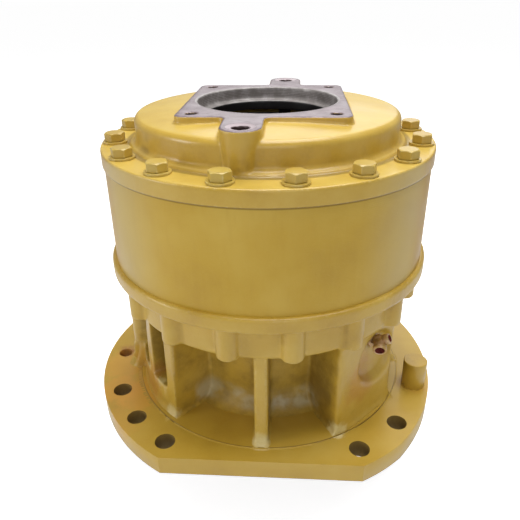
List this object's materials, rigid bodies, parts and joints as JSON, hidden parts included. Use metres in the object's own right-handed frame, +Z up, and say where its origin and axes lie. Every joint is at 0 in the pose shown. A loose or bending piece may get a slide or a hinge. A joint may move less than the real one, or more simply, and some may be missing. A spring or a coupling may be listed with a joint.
{
  "type": "excavator swing gearbox",
  "caption": "Two-stage planetary swing reduction gearbox with a ribbed cast housing, bolted ring gear, domed cover with a square motor pad and a pinion below its flange.",
  "frame": {"origin": "centre of the mounting face, where the gearbox axis meets the underside of the flange", "axes": "+Z up along the gearbox axis to the motor pad, -Y towards the front flat of the flange"},
  "size_m": [0.5294, 0.467, 0.575],
  "materials": {
    "yellow_paint": "satin",
    "machined_steel": "brushed",
    "gear_steel": "satin",
    "cast_inner": "matte",
    "bronze": "satin",
    "rubber": "matte"
  },
  "bodies": {
    "casing": {"lower_housing": "yellow_paint", "ring_gear": "yellow_paint", "top_cover": "yellow_paint", "cover_bolts": "yellow_paint", "cover_washers": "yellow_paint", "locating_post": "yellow_paint", "housing_seal_ring": "rubber", "cover_seal_ring": "rubber", "drain_adapter": "bronze", "drain_elbow": "bronze", "drain_nipple": "bronze", "lower_bearing_outer_race": "machined_steel", "upper_bearing_outer_race": "machined_steel", "seal_carrier": "cast_inner", "seal_carrier_screws": "machined_steel", "output_seal": "rubber"},
    "output": {"output_pinion_shaft": "gear_steel", "lower_bearing_inner_race": "machined_steel", "upper_bearing_inner_race": "machined_steel", "seal_sleeve": "machined_steel", "bearing_nut": "machined_steel", "second_carrier": "cast_inner", "second_planet_pins": "machined_steel", "second_thrust_washers": "bronze", "carrier_keeper": "machined_steel", "keeper_bolts": "machined_steel"},
    "lower_roller_set": {"lower_bearing_rollers": "machined_steel", "lower_bearing_cage": "bronze"},
    "upper_roller_set": {"upper_bearing_rollers": "machined_steel", "upper_bearing_cage": "bronze"},
    "first_stage_carrier": {"first_carrier": "cast_inner", "first_planet_pins": "machined_steel", "first_thrust_washers": "bronze", "second_sun": "gear_steel", "thrust_button": "bronze"},
    "input_gear": {"input_sun": "gear_steel"},
    "second_planet_wheel_1": {"second_planet_1": "gear_steel", "second_planet_sleeve_1": "bronze"},
    "second_planet_wheel_2": {"second_planet_2": "gear_steel", "second_planet_sleeve_2": "bronze"},
    "second_planet_wheel_3": {"second_planet_3": "gear_steel", "second_planet_sleeve_3": "bronze"},
    "second_planet_wheel_4": {"second_planet_4": "gear_steel", "second_planet_sleeve_4": "bronze"},
    "first_planet_wheel_1": {"first_planet_1": "gear_steel", "first_planet_sleeve_1": "bronze"},
    "first_planet_wheel_2": {"first_planet_2": "gear_steel", "first_planet_sleeve_2": "bronze"},
    "first_planet_wheel_3": {"first_planet_3": "gear_steel", "first_planet_sleeve_3": "bronze"}
  },
  "joints": [
    {"name": "output_spin", "type": "hinge", "parent": "casing", "child": "output", "pos_m": [0, 0, 0], "axis": [0, 0, 1], "continuous": true},
    {"name": "lower_roller_spin", "type": "hinge", "parent": "casing", "child": "lower_roller_set", "pos_m": [0, 0, 0], "axis": [0, 0, 1], "continuous": true},
    {"name": "upper_roller_spin", "type": "hinge", "parent": "casing", "child": "upper_roller_set", "pos_m": [0, 0, 0], "axis": [0, 0, 1], "continuous": true},
    {"name": "first_carrier_spin", "type": "hinge", "parent": "casing", "child": "first_stage_carrier", "pos_m": [0, 0, 0], "axis": [0, 0, 1], "continuous": true},
    {"name": "input_spin", "type": "hinge", "parent": "casing", "child": "input_gear", "pos_m": [0, 0, 0], "axis": [0, 0, 1], "continuous": true},
    {"name": "second_planet_spin_1", "type": "hinge", "parent": "output", "child": "second_planet_wheel_1", "pos_m": [0, -0.12, 0], "axis": [0, 0, 1], "continuous": true},
    {"name": "second_planet_spin_2", "type": "hinge", "parent": "output", "child": "second_planet_wheel_2", "pos_m": [0.12, 0, 0], "axis": [0, 0, 1], "continuous": true},
    {"name": "second_planet_spin_3", "type": "hinge", "parent": "output", "child": "second_planet_wheel_3", "pos_m": [0, 0.12, 0], "axis": [0, 0, 1], "continuous": true},
    {"name": "second_planet_spin_4", "type": "hinge", "parent": "output", "child": "second_planet_wheel_4", "pos_m": [-0.12, 0, 0], "axis": [0, 0, 1], "continuous": true},
    {"name": "first_planet_spin_1", "type": "hinge", "parent": "first_stage_carrier", "child": "first_planet_wheel_1", "pos_m": [0, -0.108, 0], "axis": [0, 0, 1], "continuous": true},
    {"name": "first_planet_spin_2", "type": "hinge", "parent": "first_stage_carrier", "child": "first_planet_wheel_2", "pos_m": [0.09353, 0.054, 0], "axis": [0, 0, 1], "continuous": true},
    {"name": "first_planet_spin_3", "type": "hinge", "parent": "first_stage_carrier", "child": "first_planet_wheel_3", "pos_m": [-0.09353, 0.054, 0], "axis": [0, 0, 1], "continuous": true}
  ],
  "couplings": [
    {"joint": "lower_roller_spin", "follows": "output_spin", "ratio": 0.45333},
    {"joint": "upper_roller_spin", "follows": "output_spin", "ratio": 0.43478},
    {"joint": "first_carrier_spin", "follows": "output_spin", "ratio": 4},
    {"joint": "input_spin", "follows": "output_spin", "ratio": 24},
    {"joint": "second_planet_spin_1", "follows": "output_spin", "ratio": -3},
    {"joint": "second_planet_spin_2", "follows": "output_spin", "ratio": -3},
    {"joint": "second_planet_spin_3", "follows": "output_spin", "ratio": -3},
    {"joint": "second_planet_spin_4", "follows": "output_spin", "ratio": -3},
    {"joint": "first_planet_spin_1", "follows": "output_spin", "ratio": -10},
    {"joint": "first_planet_spin_2", "follows": "output_spin", "ratio": -10},
    {"joint": "first_planet_spin_3", "follows": "output_spin", "ratio": -10}
  ]
}
